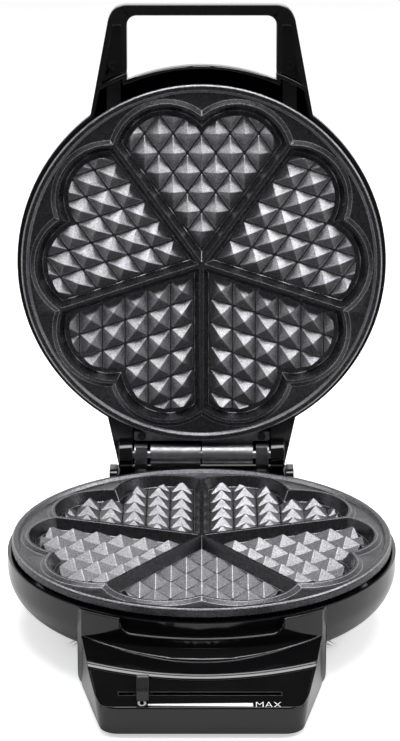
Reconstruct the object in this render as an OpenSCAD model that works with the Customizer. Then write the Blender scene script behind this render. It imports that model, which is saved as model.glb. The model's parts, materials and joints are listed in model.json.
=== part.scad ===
// Electric heart waffle maker: a round base with a sloped control console, and a lid that opens past upright.
// The lid stands open. Every lid piece is drawn closed, then swung back about the hinge by on_lid().
// Plate frame: the plates' common axis is x = y = 0, the table is z = 0, the console faces -Y.

/* [Baking plates] */
// Radius of the outer rim of both plates
plate_r = 104; // [102:0.5:105]
// Height of the lower plate's rim above the table
plate_z = 50; // [49:0.5:52]
// Gap between the two rims with the lid closed
plate_gap = 0.6; // [0.4:0.1:1]
// Width of the rim's flat crest
rim_w = 3.2; // [2.4:0.2:3.6]
// Height of the rim's outer flange
flange_h = 4.5; // [4:0.5:5]
// Depth of the overflow land below the rim
land_d = 1.6; // [1:0.2:2]
// Depth of the heart moulds below the rim
mould_d = 6.2; // [5.6:0.2:6.4]
// Metal left under the moulds
plate_t = 2.6; // [2.4:0.1:3]

/* [Heart pattern] */
// Number of hearts round the plate
hearts = 5; // [4:1:6]
// Distance of each lobe's centre from the plate's axis
lobe_reach = 65; // [63:0.5:66]
// Radius of each lobe, to the middle of its crest
lobe_r = 30.5; // [29:0.5:31]
// Width of the crest that outlines the flower
crest_w = 1.6; // [1.2:0.2:2]
// Sideways run of the crest's outer slope
crest_run = 2.4; // [1.6:0.2:2.6]
// Sideways run of the mould's inner wall
wall_run = 2.9; // [2:0.1:3.2]
// Width of the dividers' crest
divider_w = 2.2; // [1.6:0.2:2.8]
// Distance between neighbouring pyramids, along the heart's straight sides
pyramid_pitch = 13.9; // [13.5:0.1:14.3]
// Distance of the first pyramid along each straight side
pyramid_start = 11.9; // [11.6:0.1:12.4]
// Height of the pyramids
pyramid_h = 5.2; // [4:0.2:5.4]
// Flat groove between the pyramids
groove_w = 1.2; // [1:0.1:1.6]
// Flat margin between the mould's wall and the pyramids
field_margin = 2.8; // [2:0.2:3.2]

/* [Base housing] */
// Radius of the bowl and of the lid shell
bowl_r = 106.5; // [106.5:0.5:108]
// Height of the bowl's edge
bowl_top = 43.5; // [43:0.25:43.75]
// Radius of the bowl's and the lid's rounded corner
corner_r = 21.5; // [20:0.5:22]
// Height of the bowl's underside above the table
bowl_floor = 13.6; // [13:0.2:14]
// Wall thickness of the mouldings
wall = 2.4; // [2:0.1:2.6]

/* [Front console] */
// Distance of the console's front face from the plates' axis
console_y = 151; // [150:0.5:154]
// Half width of the console at its front edge, at table level
console_half = 50; // [49:0.5:51]
// Angle by which the console narrows towards the front, in plan
console_taper = 12; // [11:0.5:13]
// Angle by which the console's sides lean outwards
console_draft = 8; // [6:0.5:9]
// Height of the console's lower edge above the table
console_z = 2; // [1.8:0.1:2.4]
// Height of the front lip
lip_z = 16.5; // [15.5:0.5:17]
// Slope of the control panel
panel_slope = 42; // [40:1:44]
// Height of the brow, between the panel and the finger scoop, at its middle
brow_z = 28.5; // [28:0.25:29]
// Radius of the finger scoop across the console
scoop_r = 350; // [320:10:400]
// Slope of the finger scoop's floor, down towards the bowl
scoop_slope = 6; // [4:1:7]
// Half width of the notch in the console's upper wall
notch_half = 42.5; // [38:0.5:44]

/* [Temperature slider] */
// Travel of the slider
slide_travel = 62; // [56:1:62]
// Position of the knob at 0
slide_x = -29.8; // [-30.5:0.1:-29]
// Width of the knob
knob_w = 6.2; // [5.6:0.2:6.6]
// Height of the knob above the panel
knob_h = 8; // [6:0.5:9]
// Distance from the thermostat's spindle to the slider's post
lever_reach = 50; // [49:0.5:51]

/* [Lid] */
// Angle of the open lid past upright
lid_tilt = 6.5; // [4:0.5:7]
// Radius of the chin between the handle's arms
chin_r = 114.2; // [113.5:0.1:115]
// Radius of the chin under the handle's arms
shoulder_r = 118; // [117.5:0.1:118.5]
// Height of the dome's crown above its rounded corner
dome_rise = 5; // [3:0.5:7]

/* [Handle] */
// Distance of the handle's bar from the plates' axis, to its outer face
handle_y = 148.6; // [146:0.2:150]
// Width of the bar
bar_w = 6.2; // [5.4:0.2:8]
// Depth of the handle, across the lid's plane
handle_t = 13; // [12.5:0.5:15]
// Half width of the handle's window
window_half = 42.6; // [40:0.2:43]

/* [Hinge] */
// Distance of the hinge's axis behind the plates' axis
hinge_y = 113; // [112.5:0.25:114]
// Height of the hinge's axis above the table
hinge_z = 55; // [54.5:0.25:55.5]
// Radius of the barrel halves
barrel_r = 6; // [5.6:0.1:6]
// Radius of the hinge pin
pin_r = 2.5; // [2:0.1:2.8]
// Running clearance round the pin in the base's knuckles
pin_play = 0.06; // [0.02:0.01:0.1]

/* [Hidden] */

$fn = 96;
eps = 0.01;
reach = 200;                      // longer than any cut has to be
arc_steps = 8;                    // sides of each rounded corner of an outline
touch = 0.3;                      // least gap between pieces of different bodies

gloss_black = [0.07, 0.07, 0.08];
satin_black = [0.13, 0.13, 0.14];
plate_grey = [0.27, 0.27, 0.30];
hinge_grey = [0.40, 0.40, 0.43];
steel = [0.70, 0.71, 0.73];

sector = 360 / hearts;
lobe_angle = sector / 4;
parting_z = plate_z + plate_gap / 2;
lid_z = plate_z + plate_gap;      // height of the upper plate's rim, closed
shell_z = 2 * parting_z - bowl_top;
body_r = plate_r - 4;             // the plates' casting inside the flange
plate_back = mould_d + plate_t;
boss_h = 4;                       // height of the bosses and ribs on a plate's back
boss_r = 84;                      // where the plates' bosses are
boss_angles = [45, 135, 225, 315];
heater_r = 64;
heater_wire = 3.2;
pan_t = 0.8;
pan_r = 95;

corner_y = bowl_r - corner_r;     // centre of the bowl's rounded corner
corner_z = bowl_floor + corner_r;
dome_z = 2 * parting_z - bowl_floor;
slide_mid = slide_x + slide_travel / 2;
post_y = 127;
spindle_y = post_y - lever_reach;
lever_angle = atan(slide_travel / 2 / lever_reach);
lever_z = 19;
lever_t = 2.4;
post_r = 2;
slot_z = 7.7;                     // middle of the slot, up the panel's slope from the lip
slot_w = 1.8;
slot_mid = -0.9;
slot_half = 41.3;
panel_t = 1.6;

block_half = 55;                  // rear block of base and lid
block_y = 128;
ear_x = 49.2;
cheek_x = 40.2;
cheek_out = 48.2;
cheek_r = 8.6;
lid_block_y = hinge_y + cheek_r;
cover_screw_x = 42.5;
cover_screw_y = console_y - 6.5;
rear_screw_x = 34;
rear_screw_y = 83;
knuckle_in = 31.8;
knuckle_out = 39.2;
leaf_t = 1.8;
leaf_screw_x = 35;
leaf_screw_y = hinge_y - 8.5;
base_screw_y = hinge_y - 3.2;
lid_screw_y = leaf_screw_y - 1.5;
// Where the panel's plane reaches the brow's height
brow_y = -console_y + 0.5 + (brow_z - lip_z) / tan(panel_slope);
arm_z = lid_z + plate_back + boss_h;   // outer face of the upper reflector's flat rim
tongue_x = 50.4;
handle_screw_y = 114.3;
lens_x = 12;
lens_y = 58;
lens_r = 3.6;

// The whole part is centred in Y: its console is the furthest in front, the open lid's lenses are the furthest behind.
lens_top = dome_z + 4.6;
lens_back = hinge_y + (hinge_y + lens_y + lens_r) * sin(lid_tilt) + (lens_top - hinge_z) * cos(lid_tilt);
plate_y = (console_y - lens_back) / 2;

// ---------- outlines ----------

function unit(v) = v / norm(v);

// Points of one rounded corner q, between its neighbours p and s.
function corner(p, q, s, r) =
    let (
        u = unit(p - q),
        v = unit(s - q),
        half = acos(u * v) / 2,
        centre = q + unit(u + v) * r / sin(half),
        from = q + u * r / tan(half) - centre,
        to = q + v * r / tan(half) - centre,
        a0 = atan2(from[1], from[0]),
        turn = (atan2(to[1], to[0]) - a0 + 540) % 360 - 180
    )
    r == 0 ? [q] : [for (i = [0:arc_steps]) centre + r * [cos(a0 + turn * i / arc_steps), sin(a0 + turn * i / arc_steps)]];

// An outline whose corners are rounded: each entry is [x, y, radius].
function rounded(c) =
    [for (i = [0:len(c) - 1])
        each corner(
            [c[(i + len(c) - 1) % len(c)][0], c[(i + len(c) - 1) % len(c)][1]],
            [c[i][0], c[i][1]],
            [c[(i + 1) % len(c)][0], c[(i + 1) % len(c)][1]],
            c[i][2])];

// Points of an arc round [cx, cy].
function arc(cx, cy, r, a0, a1, steps) =
    [for (i = [0:steps]) [cx + r * cos(a0 + (a1 - a0) * i / steps), cy + r * sin(a0 + (a1 - a0) * i / steps)]];

module turned(points) {
    rotate_extrude() polygon(points);
}

// An outline in Y and Z, extruded along X between x0 and x1.
module side_extrude(x0, x1) {
    translate([x0, 0, 0])
        rotate([90, 0, 90])
            linear_extrude(x1 - x0)
                children();
}

module both_sides() {
    children();
    mirror([1, 0, 0]) children();
}

module at_bosses() {
    for (a = boss_angles)
        rotate([0, 0, a])
            translate([boss_r, 0, 0])
                children();
}

module rod_x(r, x0, x1) {
    translate([x0, 0, 0]) rotate([0, 90, 0]) cylinder(r = r, h = x1 - x0);
}

// ---------- placing ----------

module on_base() {
    translate([0, plate_y, 0]) children();
}

module at_hinge() {
    translate([0, hinge_y, hinge_z]) children();
}

module on_lid() {
    on_base()
        at_hinge()
            rotate([-90 - lid_tilt, 0, 0])
                translate([0, -hinge_y, -hinge_z])
                    children();
}

// A lid piece that mirrors a base piece in the parting plane.
module flipped() {
    translate([0, 0, 2 * parting_z]) mirror([0, 0, 1]) children();
}

// The control panel's own plane: x across, y up the slope from the lip, z out of the surface.
module on_panel() {
    translate([0, -console_y + 0.5, lip_z]) rotate([panel_slope, 0, 0]) children();
}

// A pan-head screw with a cross recess, head down, its head's seat at z = 0.
module screw(head_r, head_h, shank_r, length) {
    difference() {
        union() {
            translate([0, 0, -head_h]) cylinder(r = head_r, h = head_h);
            translate([0, 0, -eps]) cylinder(r = shank_r, h = length);
        }
        for (a = [0, 90])
            rotate([0, 0, a])
                translate([-head_r * 0.6, -head_r * 0.14, -head_h - 1])
                    cube([head_r * 1.2, head_r * 0.28, 1 + head_h * 0.55]);
    }
}

// ---------- baking plates, rim crest at z = 0, moulds facing up ----------

module lobes() {
    for (i = [0:2 * hearts - 1])
        rotate([0, 0, 90 + lobe_angle * (2 * i + 1)])
            translate([lobe_reach, 0, 0])
                children();
}

// The flower that all the lobes make, its wall leaning in from r0 to r1 over the height z1 - z0.
module flower(r0, r1, z0, z1) {
    translate([0, 0, z0]) {
        lobes() cylinder(r1 = r0, r2 = r1, h = z1 - z0);
        cylinder(r = lobe_reach * 0.78, h = z1 - z0);
    }
}

// The two lobes of the heart whose axis is +Y.
module heart_lobes() {
    for (s = [-1, 1])
        translate([s * lobe_reach * sin(lobe_angle), lobe_reach * cos(lobe_angle), 0])
            children();
}

// Everything on the heart's side of the divider on its right.
module inside_divider() {
    rise = 1;
    slope = wall_run / mould_d;
    rotate([0, 0, 90 - sector / 2])
        rotate([90, 0, 90])
            translate([0, 0, -reach])
                linear_extrude(2 * reach)
                    polygon([[divider_w / 2 + wall_run, -mould_d], [reach, -mould_d], [reach, rise],
                             [divider_w / 2 - rise * slope, rise]]);
}

// One heart-shaped hollow, before the pyramids are put in.
module mould() {
    rise = 1;
    r_foot = lobe_r - crest_w / 2 - wall_run;
    r_rise = lobe_r - crest_w / 2 + wall_run * rise / mould_d;
    half = lobe_reach * sin(lobe_angle) + r_foot * 0.85;
    intersection() {
        union() {
            heart_lobes() translate([0, 0, -mould_d]) cylinder(r1 = r_foot, r2 = r_rise, h = mould_d + rise);
            translate([-half, -4, -mould_d]) cube([2 * half, 4 + lobe_reach * cos(lobe_angle), mould_d + rise]);
        }
        inside_divider();
        mirror([1, 0, 0]) inside_divider();
    }
}

// Parallel ridges along one straight side of a heart whose axis is +Y.
module ridges() {
    spread = sin(sector);
    count = ceil((lobe_reach + lobe_r) / pyramid_pitch);
    half = (pyramid_pitch * spread - groove_w) / 2;
    sink = 0.4;
    foot = half + sink * half / pyramid_h;
    teeth = [for (j = [0:count - 1])
        let (x = (pyramid_start + j * pyramid_pitch) * spread)
        each [[x - foot, -sink], [x, pyramid_h], [x + foot, -sink]]];
    end = (pyramid_start + (count - 0.5) * pyramid_pitch) * spread;
    rotate([0, 0, sector / 2])
        rotate([90, 0, 180])
            mirror([1, 0, 0])
                linear_extrude(lobe_reach + lobe_r)
                    polygon(concat([[0, -plate_t / 2]], teeth, [[end, -sink], [end, -plate_t / 2]]));
}

// Two crossed sets of ridges leave rhombic pyramids, cut off where the heart's lobes end.
module pyramids() {
    field_r = lobe_r - crest_w / 2 - wall_run - field_margin;
    half = lobe_reach * sin(lobe_angle) + field_r * 0.85;
    translate([0, 0, -mould_d])
        intersection() {
            ridges();
            mirror([1, 0, 0]) ridges();
            translate([0, 0, -plate_t / 2])
                linear_extrude(plate_t / 2 + pyramid_h + 1) {
                    heart_lobes() circle(field_r);
                    translate([-half, 0]) square([2 * half, lobe_reach * cos(lobe_angle)]);
                }
        }
}

module baking_plate() {
    crest_r = lobe_r + crest_w / 2;
    sunk = 0.8;
    proud = 0.5;
    difference() {
        union() {
            turned([[0, -plate_back], [body_r, -plate_back], [body_r, -flange_h], [plate_r, -flange_h],
                    [plate_r, -0.8], [plate_r - 0.8, 0], [plate_r - rim_w, 0],
                    [plate_r - rim_w - 1.2, -land_d], [0, -land_d]]);
            flower(crest_r + crest_run * (land_d + sunk) / land_d, crest_r - crest_run * proud / land_d,
                   -land_d - sunk, proud);
            // Bosses for the screws, and the ring that the heating element is pressed into
            translate([0, 0, -plate_back - boss_h]) {
                at_bosses() cylinder(r = 5, h = boss_h + eps);
                heater_ring();
            }
        }
        // The crest ends level with the rim
        cylinder(r = plate_r - rim_w - 1, h = 2 * proud);
        at_hearts() mould();
        translate([0, 0, -plate_back - boss_h]) {
            at_bosses() translate([0, 0, -1]) cylinder(r = 1.5, h = boss_h + 1.4);
            rotate_extrude() translate([heater_r, 0]) circle(r = heater_wire + 0.1);
        }
    }
    at_hearts() pyramids();
}

module at_hearts() {
    for (i = [0:hearts - 1])
        rotate([0, 0, 180 + sector * i])
            children();
}

module heater_ring() {
    half = heater_wire + 2.6;
    turned([[heater_r - half, 0], [heater_r + half, 0], [heater_r + half, boss_h + eps],
            [heater_r - half, boss_h + eps]]);
}

// ---------- heating parts, drawn for the lower plate ----------

// A tubular element: an open ring with its cold ends turned in, and flat terminals.
module heating_element() {
    open_angle = 30;
    z = plate_z - plate_back - boss_h + 0.1;
    end_x = heater_r * sin(open_angle / 2);
    end_y = heater_r * cos(open_angle / 2);
    translate([0, 0, z]) {
        rotate([0, 0, 90 + open_angle / 2])
            rotate_extrude(angle = 360 - open_angle)
                translate([heater_r, 0])
                    circle(r = heater_wire, $fn = 32);
        both_sides()
            translate([end_x, end_y, 0]) {
                translate([0.6, 0, -7]) cylinder(r = heater_wire + 0.5, h = 6.6);
                translate([-2.5, -0.4, -15]) cube([6.2, 0.8, 9]);
            }
    }
}

module reflector_pan() {
    z = plate_z - plate_back - boss_h;
    translate([0, 0, z])
        difference() {
            turned([[0, -heater_wire - 2.4], [heater_r + 9, -heater_wire - 2.4], [heater_r + 13, -pan_t],
                    [pan_r, -pan_t], [pan_r, 0], [heater_r + 12.6, 0], [heater_r + 8.6, -heater_wire - 1.6],
                    [0, -heater_wire - 1.6]]);
            at_bosses() translate([0, 0, -2]) cylinder(r = 1.7, h = 4);
            // Openings for the terminals and for the thermostat
            for (s = [-1, 1])
                translate([s * heater_r * sin(15) - 6, heater_r * cos(15) - 6, -8]) cube([12, 12, 9]);
            translate([slide_mid - 15, -pan_r - 1, -8]) cube([30, pan_r - 67, 9]);
        }
}

// ---------- base ----------

function bowl_outline(r, top) = concat(
    [[0, bowl_floor + bowl_r - r]],
    arc(corner_y, corner_z, r - corner_y, -90, 0, 12),
    [[r, top], [0, top]]);

// The bowl's volume down from its edge, shrunk by inset.
module bowl_volume(inset, top) {
    turned(bowl_outline(bowl_r - inset, top));
}

// Plan outline of the rear block, shrunk by inset.
module block_plan(inset) {
    polygon(rounded([[-block_half + inset, 78, 0], [block_half - inset, 78, 0],
                     [block_half - 4 - inset, block_y - inset, 6 - inset],
                     [-block_half + 4 + inset, block_y - inset, 6 - inset]]));
}

module vent_slots() {
    for (i = [-3:3])
        translate([i * 9 - 1.5, -34, bowl_floor - 1]) cube([3, 28, wall + 2]);
}

module lower_housing() {
    color(gloss_black) on_base() {
        difference() {
            union() {
                bowl_volume(0, bowl_top);
                translate([0, 0, console_z]) linear_extrude(bowl_top - console_z) block_plan(0);
                // Guards beside the lid's cheeks
                both_sides()
                    side_extrude(ear_x, ear_x + 4.6)
                        polygon(rounded([[hinge_y - 9, bowl_top - 4, 0], [hinge_y + 6, bowl_top - 4, 0],
                                         [hinge_y + 6, bowl_top + 4, 3], [hinge_y - 9, bowl_top + 4, 5]]));
            }
            bowl_volume(wall, bowl_top + 1);
            translate([0, 0, console_z + wall])
                linear_extrude(bowl_top - console_z - 2 * wall)
                    block_plan(wall);
            // Way for the lever into the console, and vents in the floor
            translate([slide_mid - 24, -bowl_r - 1, bowl_floor + wall + 0.2]) cube([48, 20, 9]);
            vent_slots();
            // Gland's hole
            translate([0, block_y - 10, 22]) rotate([-90, 0, 0]) cylinder(r = 6, h = 20);
            // Holes for the base leaf's screws
            both_sides()
                translate([leaf_screw_x, base_screw_y, bowl_top - 8]) cylinder(r = 1.5, h = 9);
        }
        // Bosses under the bowl for the cover's screws, and in the rear block for the leaf's
        both_sides() {
            translate([rear_screw_x, -rear_screw_y, console_z + wall])
                screw_boss(4, bowl_floor - console_z - wall + 0.4);
            translate([leaf_screw_x, base_screw_y, bowl_top - 10]) screw_boss(4, 8);
        }
        // Pillars that carry the plate
        difference() {
            at_bosses() translate([0, 0, bowl_floor]) cylinder(r = 5.6, h = pillar_top() - bowl_floor);
            at_bosses() translate([0, 0, bowl_floor - 1]) cylinder(r = 3.8, h = 8);
            at_bosses() cylinder(r = 1.8, h = 60);
        }
    }
}

module screw_boss(r, h) {
    difference() {
        cylinder(r = r, h = h);
        translate([0, 0, -1]) cylinder(r = 1.5, h = h + 2);
    }
}

function pillar_top() = plate_z - plate_back - boss_h - pan_t;

module lower_plate() {
    color(plate_grey) on_base() translate([0, 0, plate_z]) baking_plate();
}

module lower_heating_element() {
    color(steel) on_base() heating_element();
}

module lower_reflector() {
    color(steel) on_base() reflector_pan();
}

module housing_screws() {
    color(steel)
        on_base()
            at_bosses()
                translate([0, 0, bowl_floor + 7])
                    screw(3.4, 2, 1.5, plate_z - plate_back - bowl_floor - 7);
}

// ---------- front console ----------

// One side of the console's tapered, leaning outline, with its rounded front corner.
module console_side(inset) {
    lean = console_half * cos(console_draft);
    back = 40;
    wide = lean + (console_y - back) * tan(console_taper);
    rotate([0, console_draft, 0])
        translate([0, 0, -20])
            linear_extrude(120)
                polygon(rounded([[-reach, -back, 0], [-reach, -console_y + inset, 0],
                                 [lean - inset, -console_y + inset, 10 - inset],
                                 [wide - inset, -back, 0]]));
}

// Upright limit of the sides: they lose their lean and flare where they reach the bowl.
module console_limit(inset) {
    flare = [[-reach, 51.6], [-89.6, 63], [-84, 65.2], [-60, 65.6]];
    translate([0, 0, -10])
        linear_extrude(80)
            polygon([for (p = flare) [p[1] - inset, p[0]], for (i = [3:-1:0]) [inset - flare[i][1], flare[i][0]]]);
}

module console_outline(inset) {
    intersection() {
        console_side(inset);
        mirror([1, 0, 0]) console_side(inset);
        console_limit(inset);
    }
}

// A trough cut along Y whose lowest line passes through the middle of the brow, sunk by inset.
module trough(slope, inset) {
    follow = cos(slope) - sin(slope) / tan(panel_slope);
    r = scoop_r / follow;
    translate([0, brow_y, brow_z])
        rotate([slope, 0, 0])
            translate([0, reach / 2, r - inset])
                rotate([90, 0, 0])
                    cylinder(r = r, h = reach, $fn = 720);
}

// Everything below the finger scoop, the rounded brow and the sloped panel, lowered by inset.
module console_height(inset) {
    difference() {
        side_extrude(-reach / 2, reach / 2)
            polygon([[-console_y - 5, -10], [-60, -10], [-60, 50], [-console_y - 5, 50]]);
        trough(-scoop_slope, inset);
        trough(6, inset + 0.54);
        trough(18, inset + 0.72);
        trough(30, inset + 0.54);
        on_panel() translate([-reach, -reach, -inset]) cube([2 * reach, 2 * reach, reach]);
    }
}

module front_console() {
    wall_r = bowl_r + 3;
    color(gloss_black) on_base() {
        difference() {
            intersection() {
                console_outline(0);
                union() {
                    console_height(0);
                    // Upper wall, wrapped round the bowl, with a cove at its foot
                    turned([[0, console_z], [wall_r + 1, console_z], [wall_r + 1, 22],
                            each arc(wall_r + 7, 31.6, 6, -90, -180, 6), [wall_r, bowl_top], [0, bowl_top]]);
                }
                translate([-reach, -reach, console_z]) cube([2 * reach, reach - 74, reach]);
            }
            bowl_volume(0, bowl_top + 1);
            // Hollow for the slider's parts, open below
            intersection() {
                console_outline(wall);
                console_height(wall);
                translate([-reach, -reach, -1]) cube([2 * reach, reach - 78, reach]);
                difference() {
                    translate([0, 0, -1]) cylinder(r = reach, h = 60);
                    translate([0, 0, 24]) cylinder(r = wall_r + 2, h = 60);
                }
            }
            panel_pocket();
            // Notch in the upper wall
            translate([0, 0, bowl_top - 7])
                rotate([90, 0, 0])
                    linear_extrude(reach)
                        polygon(rounded([[-notch_half, 20, 0], [-notch_half, 0, 6], [notch_half, 0, 6],
                                         [notch_half, 20, 0]]));
            // Opening under the slot
            on_panel()
                translate([slot_mid - slot_half - 1, slot_z - 2.4, -20])
                    cube([2 * slot_half + 2, 4.8, 30]);
        }
        both_sides() translate([cover_screw_x, -cover_screw_y, console_z + wall]) screw_boss(5, 9);
    }
}

// Outline of the control panel on its own plane, grown by margin.
module panel_outline(margin) {
    bottom = 0.7;
    high = 27;
    top = (brow_z - lip_z) / sin(panel_slope) - 3.4;
    side = console_half + 1.4;
    lean = tan(console_taper) * cos(panel_slope) + tan(console_draft) * sin(panel_slope);
    sweep = 246;
    difference() {
        polygon(rounded([[-side - margin, bottom - margin, 6], [side + margin, bottom - margin, 6],
                         [side + (high - bottom) * lean + margin, high, 0],
                         [-side - (high - bottom) * lean - margin, high, 0]]));
        translate([0, top + margin + sweep]) circle(r = sweep, $fn = 720);
    }
}

module panel_pocket() {
    on_panel() translate([0, 0, -panel_t]) linear_extrude(panel_t + 4) panel_outline(0.15);
}

module control_panel() {
    color(satin_black) on_base()
        on_panel()
            translate([0, 0, -panel_t])
                difference() {
                    linear_extrude(panel_t - 0.4) panel_outline(0);
                    translate([slot_mid - slot_half, slot_z - slot_w / 2, -1])
                        cube([2 * slot_half, slot_w, 4]);
                }
}

module at_cover_screws() {
    both_sides() {
        translate([cover_screw_x, -cover_screw_y, console_z]) children();
        translate([rear_screw_x, -rear_screw_y, console_z]) children();
    }
}

module console_cover() {
    color(satin_black) on_base()
        difference() {
            intersection() {
                console_outline(wall + 0.2);
                translate([-reach, -reach, console_z]) cube([2 * reach, reach - 78.2, wall]);
            }
            at_cover_screws() translate([0, 0, -1]) cylinder(r = 1.7, h = 10);
        }
}

module cover_screws() {
    color(steel) on_base() at_cover_screws() screw(3, 1.2, 1.5, 9);
}

module slider_knob() {
    color(satin_black) on_base()
        on_panel()
            translate([slide_x, slot_z, -panel_t + 0.1]) {
                // Fin with a rounded top and a finger-sized hollow, on a thin neck through the slot
                translate([0, 0, panel_t + 0.2])
                    difference() {
                        rotate([90, 0, 90])
                            translate([0, 0, -knob_w / 2])
                                linear_extrude(knob_w)
                                    polygon(rounded([[-4.6, 0, 0.6], [8.2, 0, 0.6], [7.6, knob_h, 2.6],
                                                     [-1.4, knob_h - 1.6, 3.4], [-4.6, 1.8, 1.4]]));
                        translate([0, 3.2, knob_h + 5.3]) sphere(r = 6, $fn = 48);
                    }
                translate([-2.2, -slot_w / 2 + touch, panel_t - 0.1 - wall - 0.4])
                    cube([4.4, slot_w - 2 * touch, wall + 1.4]);
            }
}

module slider_carriage() {
    below = wall + 0.4;
    arm_z = lever_z + lever_t + 0.9;
    color(hinge_grey) on_base() {
        on_panel()
            translate([slide_x - 5, slot_z - 3, -below - 1.6]) cube([10, 9.6, 1.6]);
        // Arm back under the scoop, and the post in the lever's fork
        translate([slide_x - 3, -post_y - 11, arm_z]) cube([6, 14, 1.6]);
        translate([slide_x, -post_y, lever_z - 1]) cylinder(r = post_r, h = arm_z - lever_z + 1.4);
    }
}

// ---------- thermostat and other inner parts ----------

module thermostat() {
    top = plate_z - plate_back;
    color(steel) on_base()
        translate([slide_mid, -spindle_y, 0]) {
            translate([-11, -10, top - 11]) cube([22, 16, 11]);
            cylinder_between(4.5, top - 15, top - 11 + eps);
            cylinder_between(2.6, lever_z - 1, top - 15 + eps);
        }
}

module cylinder_between(r, z0, z1) {
    translate([0, 0, z0]) cylinder(r = r, h = z1 - z0);
}

module thermostat_lever() {
    tip = sqrt(pow(lever_reach, 2) + pow(slide_travel / 2, 2)) + 1.5;
    fork = post_r + 1.7;
    color(hinge_grey) on_base()
        translate([slide_mid, -spindle_y, lever_z])
            rotate([0, 0, -lever_angle])
                difference() {
                    union() {
                        cylinder(r = 5.5, h = lever_t + 2);
                        translate([-3.6, -lever_reach + 8, 0]) cube([7.2, lever_reach - 8, lever_t]);
                        translate([-fork - 2, -tip, 0]) cube([2 * fork + 4, tip - lever_reach + 9, lever_t]);
                    }
                    translate([0, 0, -2]) cylinder(r = 2.6 + pin_play, h = 10);
                    translate([-fork, -tip - 1, -1]) cube([2 * fork, tip - lever_reach + 6, lever_t + 2]);
                }
}

module thermal_fuse() {
    color(steel) on_base()
        translate([-30, 20, plate_z - plate_back - 5]) {
            rod_x(2, -9, 9);
            translate([-14, -0.5, -0.5]) cube([28, 1, 1]);
            // Strap that holds it on the plate
            translate([-2, -4, -2.8]) cube([4, 8, 0.8]);
            for (y = [-4, 3.2]) translate([-2, y, -2.8]) cube([4, 0.8, 7.8]);
        }
}

module terminal_block() {
    color([0.85, 0.84, 0.8]) on_base()
        translate([0, 92, console_z + wall])
            difference() {
                translate([-17, 0, 0]) cube([34, 14, 12]);
                for (x = [-11, 0, 11]) {
                    translate([x, -1, 5]) rotate([-90, 0, 0]) cylinder(r = 2, h = 16);
                    translate([x, 7, 5]) cylinder(r = 1.8, h = 10);
                }
            }
}

module cord_gland() {
    color(satin_black) on_base()
        translate([0, block_y, 22])
            rotate([-90, 0, 0])
                difference() {
                    union() {
                        translate([0, 0, -wall - 2]) cylinder(r = 8, h = 2);
                        translate([0, 0, -wall - eps]) cylinder(r = 6, h = wall + 2 * eps);
                        translate([0, 0, 0]) cylinder(r = 8.5, h = 2.2);
                    }
                    translate([0, 0, -10]) cylinder(r = 3.7, h = 20);
                }
}

module foot(h) {
    difference() {
        cylinder(r = 7, h = h);
        translate([0, 0, -1]) cylinder(r = 3, h = 1.8);
    }
}

module rubber_feet() {
    color(satin_black) on_base()
        both_sides() {
            translate([36, -console_y + 24, 0]) foot(console_z);
            translate([40, block_y - 16, 0]) foot(console_z);
        }
}

// ---------- hinge ----------

module base_hinge_leaf() {
    foot_z = bowl_top;
    color(hinge_grey) on_base()
        difference() {
            union() {
                at_hinge() {
                    rod_x(barrel_r, -29.8, -0.6);
                    rod_x(barrel_r, knuckle_in, knuckle_out);
                    rod_x(barrel_r, -knuckle_out, -knuckle_in);
                }
                // Webs tangent to the barrels, on a common foot
                for (x = [[-29.8, -0.6], [knuckle_in, knuckle_out], [-knuckle_out, -knuckle_in]])
                    translate([x[0], hinge_y + barrel_r - leaf_t, foot_z])
                        cube([x[1] - x[0], leaf_t, hinge_z - foot_z]);
                translate([-knuckle_out, hinge_y - 7, foot_z]) cube([2 * knuckle_out, 13, leaf_t]);
            }
            at_hinge() rod_x(pin_r + pin_play, -reach, reach);
            both_sides() translate([leaf_screw_x, base_screw_y, 0]) cylinder(r = 1.6, h = reach / 4);
            at_hinge() both_sides() translate([leaf_screw_x - 3.4, -7, -20]) cube([6.8, 4.1, 40]);
        }
}

module base_leaf_screws() {
    color(steel) on_base()
        both_sides()
            translate([leaf_screw_x, base_screw_y, bowl_top + leaf_t])
                mirror([0, 0, 1])
                    screw(2.6, 1.2, 1.5, leaf_t + 6);
}

module hinge_pin() {
    color(steel) on_lid() at_hinge() rod_x(pin_r, -cheek_x - 6.2, cheek_x + 6.2);
}

module lid_hinge_leaf() {
    sheet_z = hinge_z + barrel_r - leaf_t;
    color(hinge_grey) on_lid()
        difference() {
            union() {
                at_hinge() rod_x(barrel_r, 0.2, 29.8);
                translate([0.2, leaf_screw_y, sheet_z]) cube([29.6, hinge_y - leaf_screw_y, leaf_t]);
                translate([0, 0, sheet_z])
                    linear_extrude(leaf_t)
                        polygon(rounded([[-39.6, leaf_screw_y - 4, 0], [39.6, leaf_screw_y - 4, 0],
                                         [39.6, hinge_y - 7, 1.5], [-39.6, hinge_y - 7, 1.5]]));
            }
            at_hinge() rod_x(pin_r, -reach, reach);
            both_sides() translate([leaf_screw_x, lid_screw_y, 50]) cylinder(r = 1.6, h = 20);
        }
}

module lid_leaf_screws() {
    color(steel) on_lid()
        both_sides()
            translate([leaf_screw_x, lid_screw_y, hinge_z + barrel_r - leaf_t]) screw(2.4, 1.2, 1.5, 9);
}

// ---------- lid ----------

// Hollows start a little below the edge, so that they open it.
function edge_z(inset) = shell_z - (inset > 0 ? 2 : 0);

module dome_volume(inset) {
    r = bowl_r - inset;
    turned(concat(
        [[0, edge_z(inset)], [r, edge_z(inset)], [r, 2 * parting_z - corner_z]],
        arc(corner_y, 2 * parting_z - corner_z, r - corner_y, 8, 90, 11),
        [for (t = [1:6]) [corner_y * (1 - t / 6), dome_z - inset + dome_rise * (1 - pow(1 - t / 6, 2))]]));
}

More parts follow.
